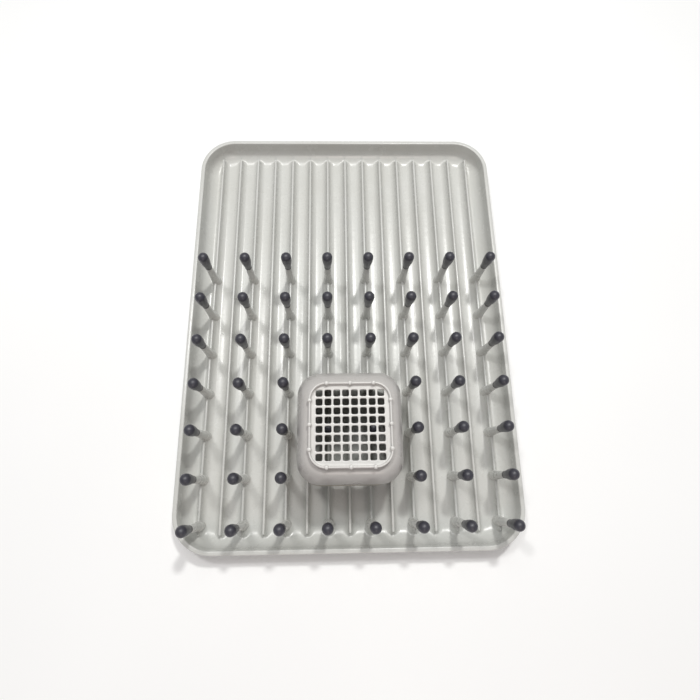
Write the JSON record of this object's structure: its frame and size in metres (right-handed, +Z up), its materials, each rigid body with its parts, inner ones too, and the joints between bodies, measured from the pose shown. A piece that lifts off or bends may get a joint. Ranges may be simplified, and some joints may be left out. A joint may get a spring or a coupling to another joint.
{
  "type": "pegged drying tray",
  "caption": "Rectangular ribbed drying tray with moulded upright pegs under soft round caps, and a perforated square cutlery cup standing upside down over the pegs.",
  "frame": {"origin": "under the middle of the tray's outline, on the surface that the tray stands on", "axes": "+Z up, +Y along the tray's length from the pegged end to its open end, +X across it to the right as seen from the pegged end"},
  "size_m": [0.3, 0.402, 0.097],
  "materials": {
    "tray_plastic": "off-white glossy moulded plastic",
    "cap_rubber": "soft matt dark grey-violet rubber",
    "cup_plastic": "pale warm grey satin moulded plastic"
  },
  "bodies": {
    "tray": {"tray": "tray_plastic", "peg_cap_r1c1": "cap_rubber", "peg_cap_r1c2": "cap_rubber", "peg_cap_r1c3": "cap_rubber", "peg_cap_r1c4": "cap_rubber", "peg_cap_r1c5": "cap_rubber", "peg_cap_r1c6": "cap_rubber", "peg_cap_r1c7": "cap_rubber", "peg_cap_r1c8": "cap_rubber", "peg_cap_r2c1": "cap_rubber", "peg_cap_r2c2": "cap_rubber", "peg_cap_r2c3": "cap_rubber", "peg_cap_r2c4": "cap_rubber", "peg_cap_r2c5": "cap_rubber", "peg_cap_r2c6": "cap_rubber", "peg_cap_r2c7": "cap_rubber", "peg_cap_r2c8": "cap_rubber", "peg_cap_r3c1": "cap_rubber", "peg_cap_r3c2": "cap_rubber", "peg_cap_r3c3": "cap_rubber", "peg_cap_r3c4": "cap_rubber", "peg_cap_r3c5": "cap_rubber", "peg_cap_r3c6": "cap_rubber", "peg_cap_r3c7": "cap_rubber", "peg_cap_r3c8": "cap_rubber", "peg_cap_r4c1": "cap_rubber", "peg_cap_r4c2": "cap_rubber", "peg_cap_r4c3": "cap_rubber", "peg_cap_r4c4": "cap_rubber", "peg_cap_r4c5": "cap_rubber", "peg_cap_r4c6": "cap_rubber", "peg_cap_r4c7": "cap_rubber", "peg_cap_r4c8": "cap_rubber", "peg_cap_r5c1": "cap_rubber", "peg_cap_r5c2": "cap_rubber", "peg_cap_r5c3": "cap_rubber", "peg_cap_r5c4": "cap_rubber", "peg_cap_r5c5": "cap_rubber", "peg_cap_r5c6": "cap_rubber", "peg_cap_r5c7": "cap_rubber", "peg_cap_r5c8": "cap_rubber", "peg_cap_r6c1": "cap_rubber", "peg_cap_r6c2": "cap_rubber", "peg_cap_r6c3": "cap_rubber", "peg_cap_r6c4": "cap_rubber", "peg_cap_r6c5": "cap_rubber", "peg_cap_r6c6": "cap_rubber", "peg_cap_r6c7": "cap_rubber", "peg_cap_r6c8": "cap_rubber", "peg_cap_r7c1": "cap_rubber", "peg_cap_r7c2": "cap_rubber", "peg_cap_r7c3": "cap_rubber", "peg_cap_r7c4": "cap_rubber", "peg_cap_r7c5": "cap_rubber", "peg_cap_r7c6": "cap_rubber", "peg_cap_r7c7": "cap_rubber", "peg_cap_r7c8": "cap_rubber"},
    "cup": {"cutlery_cup": "cup_plastic"}
  },
  "joints": [
    {"name": "cup_lift", "type": "slide", "parent": "tray", "child": "cup", "axis": [0, 0, 1], "range_m": [0, 0.1]}
  ]
}
